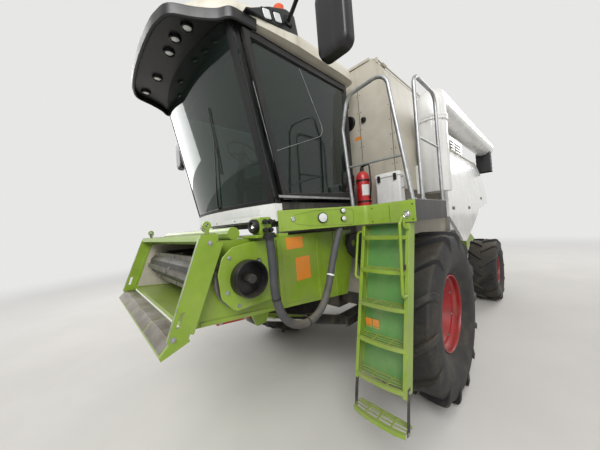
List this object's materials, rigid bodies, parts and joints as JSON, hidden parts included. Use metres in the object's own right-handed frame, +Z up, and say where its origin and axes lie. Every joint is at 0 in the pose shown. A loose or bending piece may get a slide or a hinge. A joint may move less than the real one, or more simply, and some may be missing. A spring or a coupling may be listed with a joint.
{
  "type": "self-propelled combine harvester",
  "caption": "Wheeled combine harvester without a header, feeder house raised, with cab, grain tank, unloading auger, swinging ladder and steered rear axle.",
  "frame": {"origin": "on the ground, below the middle of the machine's outline", "axes": "+X forward along the machine, +Y to its left, +Z up"},
  "size_m": [8.562, 3.3038, 3.98],
  "materials": {
    "chassis_green": "satin seed-green paint, dusty",
    "body_white": "gloss white paint, dusty",
    "tank_grey": "pale grey-beige paint",
    "frame_grey": "satin dark grey paint",
    "rim_red": "satin red paint",
    "safety_red": "gloss red paint",
    "tyre_rubber": "worn rubber, dusty",
    "rubber": "matt black rubber",
    "galvanised": "galvanised, dull",
    "steel": "bare worn steel",
    "rod_chrome": "polished rod",
    "roof_shell": "pale moulded shell",
    "black_plastic": "black moulded plastic",
    "lamp_clear": "clear lamp lens",
    "beacon_orange": "orange beacon lens",
    "tinted_glass": "tinted glass",
    "seat_fabric": "dark woven seat cover",
    "hose_rubber": "braided sleeve over hoses"
  },
  "bodies": {
    "chassis": {"chassis_frame": "frame_grey", "front_axle": "frame_grey", "rear_axle_beam": "frame_grey", "threshing_body": "tank_grey", "engine_bay": "body_white", "engine_block": "frame_grey", "grain_tank": "tank_grey", "rear_hood": "body_white", "radiator_screen": "black_plastic", "straw_chopper": "chassis_green", "platform_deck": "frame_grey", "front_fascia": "chassis_green", "lamps": "lamp_clear", "handrails": "galvanised", "fire_extinguisher": "safety_red", "tool_box": "body_white", "cab_base": "frame_grey", "cab_frame": "black_plastic", "cab_roof": "roof_shell", "roof_visor": "black_plastic", "beacon": "beacon_orange", "windscreen": "tinted_glass", "right_window": "tinted_glass", "cab_front_panel": "body_white", "mirrors": "black_plastic", "operator_seat": "seat_fabric", "steering_column": "black_plastic", "auger_turret": "body_white", "hydraulic_hose": "hose_rubber"},
    "wheel_front_left": {"tyre_front_left": "tyre_rubber", "rim_front_left": "rim_red"},
    "wheel_front_right": {"tyre_front_right": "tyre_rubber", "rim_front_right": "rim_red"},
    "knuckle_left": {"knuckle_left": "frame_grey"},
    "knuckle_right": {"knuckle_right": "frame_grey"},
    "wheel_rear_left": {"tyre_rear_left": "tyre_rubber", "rim_rear_left": "rim_red"},
    "wheel_rear_right": {"tyre_rear_right": "tyre_rubber", "rim_rear_right": "rim_red"},
    "tie_rod": {"tie_rod": "steel"},
    "feeder": {"feeder_house": "chassis_green", "feeder_front_frame": "chassis_green", "feeder_chain": "steel", "feeder_drive_guard": "chassis_green", "multicoupler": "steel", "safety_strut": "safety_red"},
    "lift_barrel_left": {"lift_barrel_left": "frame_grey"},
    "lift_barrel_right": {"lift_barrel_right": "frame_grey"},
    "lift_rod_left": {"lift_rod_left": "rod_chrome"},
    "lift_rod_right": {"lift_rod_right": "rod_chrome"},
    "door": {"cab_door": "black_plastic", "door_glass": "tinted_glass"},
    "auger": {"auger_tube": "body_white", "auger_spout": "rubber"},
    "ladder": {"ladder": "chassis_green", "ladder_bottom_step": "chassis_green"},
    "tank_cover_left": {"tank_cover_left": "tank_grey"},
    "tank_cover_right": {"tank_cover_right": "tank_grey"},
    "side_panel_left": {"side_panel_left": "body_white"},
    "side_panel_right": {"side_panel_right": "body_white"}
  },
  "joints": [
    {"name": "wheel_front_left_spin", "type": "hinge", "parent": "chassis", "child": "wheel_front_left", "pos_m": [1.619, 1.307, 0.90178], "axis": [0, 1, 0], "continuous": true},
    {"name": "wheel_front_right_spin", "type": "hinge", "parent": "chassis", "child": "wheel_front_right", "pos_m": [1.619, -1.307, 0.90178], "axis": [0, 1, 0], "continuous": true},
    {"name": "steer_left", "type": "hinge", "parent": "chassis", "child": "knuckle_left", "pos_m": [-2.151, 0.95, 0.67868], "axis": [0, 0, 1], "range_deg": [-45, 45]},
    {"name": "wheel_rear_left_spin", "type": "hinge", "parent": "knuckle_left", "child": "wheel_rear_left", "pos_m": [-2.151, 1.33, 0.67868], "axis": [0, 1, 0], "continuous": true},
    {"name": "steer_right", "type": "hinge", "parent": "chassis", "child": "knuckle_right", "pos_m": [-2.151, -0.95, 0.67868], "axis": [0, 0, 1], "range_deg": [-45, 45]},
    {"name": "wheel_rear_right_spin", "type": "hinge", "parent": "knuckle_right", "child": "wheel_rear_right", "pos_m": [-2.151, -1.33, 0.67868], "axis": [0, 1, 0], "continuous": true},
    {"name": "tie_rod_pivot", "type": "hinge", "parent": "knuckle_left", "child": "tie_rod", "pos_m": [-2.361, 0.95, 0.50868], "axis": [0, 0, 1], "range_deg": [-45, 45]},
    {"name": "feeder_lift", "type": "hinge", "parent": "chassis", "child": "feeder", "pos_m": [2.419, 0, 1.76], "axis": [0, 1, 0], "range_deg": [0, 33], "deforming": ["hydraulic_hose"]},
    {"name": "lift_barrel_left_pivot", "type": "hinge", "parent": "chassis", "child": "lift_barrel_left", "pos_m": [2.229, 0.55, 0.78], "axis": [0, 1, 0], "range_deg": [0, 21.97]},
    {"name": "lift_rod_left_slide", "type": "slide", "parent": "lift_barrel_left", "child": "lift_rod_left", "axis": [0.94, 0, 0.3411], "range_m": [-0.5312, 0]},
    {"name": "lift_barrel_right_pivot", "type": "hinge", "parent": "chassis", "child": "lift_barrel_right", "pos_m": [2.229, -0.55, 0.78], "axis": [0, 1, 0], "range_deg": [0, 21.97]},
    {"name": "lift_rod_right_slide", "type": "slide", "parent": "lift_barrel_right", "child": "lift_rod_right", "axis": [0.94, 0, 0.3411], "range_m": [-0.5312, 0]},
    {"name": "cab_door", "type": "hinge", "parent": "chassis", "child": "door", "pos_m": [2.259, 0.859, 2.3], "axis": [0, 0, 1], "range_deg": [0, 20]},
    {"name": "auger_swing", "type": "hinge", "parent": "chassis", "child": "auger", "pos_m": [1.559, 1.49, 3.3], "axis": [0, 0, -1], "range_deg": [0, 100]},
    {"name": "ladder_swing", "type": "hinge", "parent": "chassis", "child": "ladder", "pos_m": [2.373, 1.414, 1.9], "axis": [0, 0, 1], "range_deg": [0, 90]},
    {"name": "tank_cover_left_hinge", "type": "hinge", "parent": "chassis", "child": "tank_cover_left", "pos_m": [0.919, 1.101, 3.83], "axis": [-1, 0, 0], "range_deg": [0, 100]},
    {"name": "tank_cover_right_hinge", "type": "hinge", "parent": "chassis", "child": "tank_cover_right", "pos_m": [0.919, -1.101, 3.83], "axis": [1, 0, 0], "range_deg": [0, 100]},
    {"name": "side_panel_left_hinge", "type": "hinge", "parent": "chassis", "child": "side_panel_left", "pos_m": [0.119, 1.415, 2.92], "axis": [1, 0, 0], "range_deg": [0, 75]},
    {"name": "side_panel_right_hinge", "type": "hinge", "parent": "chassis", "child": "side_panel_right", "pos_m": [0.119, -1.415, 2.92], "axis": [-1, 0, 0], "range_deg": [0, 75]}
  ],
  "couplings": [
    {"joint": "steer_right", "follows": "steer_left", "ratio": 1},
    {"joint": "tie_rod_pivot", "follows": "steer_left", "ratio": -1},
    {"joint": "lift_barrel_left_pivot", "follows": "feeder_lift", "ratio": 0.6642},
    {"joint": "lift_rod_left_slide", "follows": "feeder_lift", "m_per_rad": -0.9214},
    {"joint": "lift_barrel_right_pivot", "follows": "feeder_lift", "ratio": 0.6642},
    {"joint": "lift_rod_right_slide", "follows": "feeder_lift", "m_per_rad": -0.9214}
  ]
}
